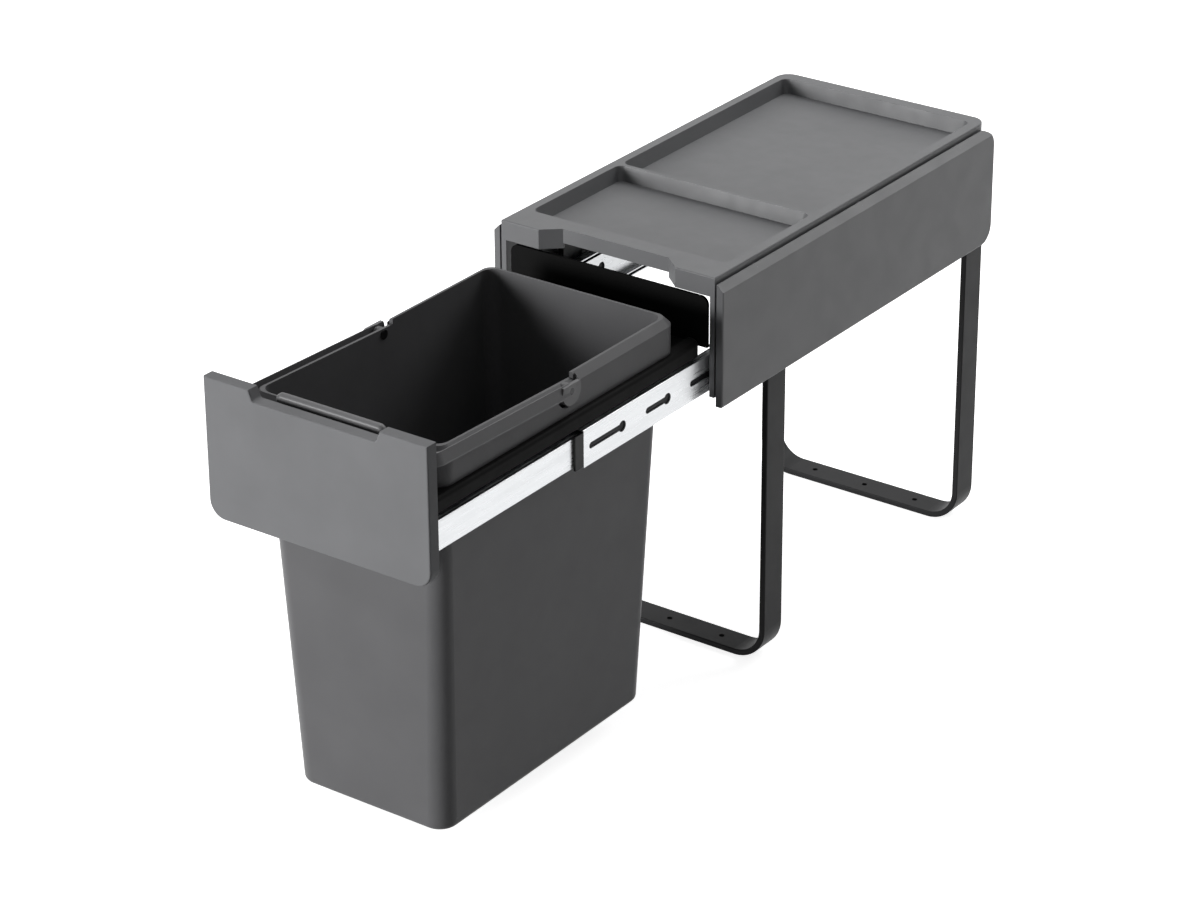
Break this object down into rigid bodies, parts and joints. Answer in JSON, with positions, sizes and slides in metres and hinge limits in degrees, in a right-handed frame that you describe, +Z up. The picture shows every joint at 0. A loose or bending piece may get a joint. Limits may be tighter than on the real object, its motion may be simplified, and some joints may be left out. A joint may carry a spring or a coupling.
{
  "type": "pull out bin frame",
  "caption": "Standing frame with a covered housing on bent bar legs, full extension ball slides and a drawer that carries a tapered bucket with a folding bail.",
  "frame": {"origin": "centre of the four outer floor screw holes, on the floor", "axes": "+X right seen from the front, +Y to the back, the way the drawer closes, +Z up"},
  "size_m": [0.252, 0.88, 0.426],
  "materials": {
    "panel_steel": "fine satin powder coat, anthracite",
    "leg_steel": "satin powder coat, anthracite",
    "rail_steel": "bright zinc plate",
    "screw_steel": "zinc plate",
    "ball_steel": "polished",
    "cage_steel": "zinc plate",
    "cover_plastic": "fine grained, anthracite",
    "fascia_plastic": "fine grained, anthracite",
    "carrier_plastic": "fine grained, black",
    "bucket_plastic": "satin, dark anthracite",
    "bail_plastic": "satin, dark anthracite",
    "stop_plastic": "black"
  },
  "bodies": {
    "housing": {"side_panel_left": "panel_steel", "side_panel_right": "panel_steel", "top_cover": "cover_plastic", "front_leg": "leg_steel", "rear_leg": "leg_steel", "panel_standoffs": "screw_steel", "leg_screws": "screw_steel", "rail_screws": "screw_steel", "cover_screws": "screw_steel", "outer_rail_left": "rail_steel", "outer_rail_right": "rail_steel"},
    "outer_cage_set": {"outer_cages": "cage_steel", "outer_balls": "ball_steel"},
    "middle_rails": {"middle_rail_left": "rail_steel", "middle_rail_right": "rail_steel", "rail_stops": "stop_plastic"},
    "inner_cage_set": {"inner_cages": "cage_steel", "inner_balls": "ball_steel"},
    "drawer": {"inner_rail_left": "rail_steel", "inner_rail_right": "rail_steel", "carrier_frame": "carrier_plastic", "carrier_screws": "screw_steel", "front_fascia": "fascia_plastic", "fascia_screws": "screw_steel", "bin_bucket": "bucket_plastic", "pivot_pins": "screw_steel"},
    "bail": {"bail_handle": "bail_plastic"}
  },
  "joints": [
    {"name": "drawer_slide", "type": "slide", "parent": "housing", "child": "drawer", "axis": [0, 1, 0], "range_m": [0, 0.396]},
    {"name": "middle_slide", "type": "slide", "parent": "housing", "child": "middle_rails", "axis": [0, 1, 0], "range_m": [0, 0.198]},
    {"name": "outer_cage_slide", "type": "slide", "parent": "housing", "child": "outer_cage_set", "axis": [0, 1, 0], "range_m": [0, 0.099]},
    {"name": "inner_cage_slide", "type": "slide", "parent": "housing", "child": "inner_cage_set", "axis": [0, 1, 0], "range_m": [0, 0.297]},
    {"name": "bail_hinge", "type": "hinge", "parent": "drawer", "child": "bail", "pos_m": [0, -0.4775, 0.391], "axis": [-1, 0, 0], "range_deg": [0, 180]}
  ],
  "couplings": [
    {"joint": "middle_slide", "follows": "drawer_slide", "ratio": 0.5},
    {"joint": "outer_cage_slide", "follows": "drawer_slide", "ratio": 0.25},
    {"joint": "inner_cage_slide", "follows": "drawer_slide", "ratio": 0.75}
  ]
}
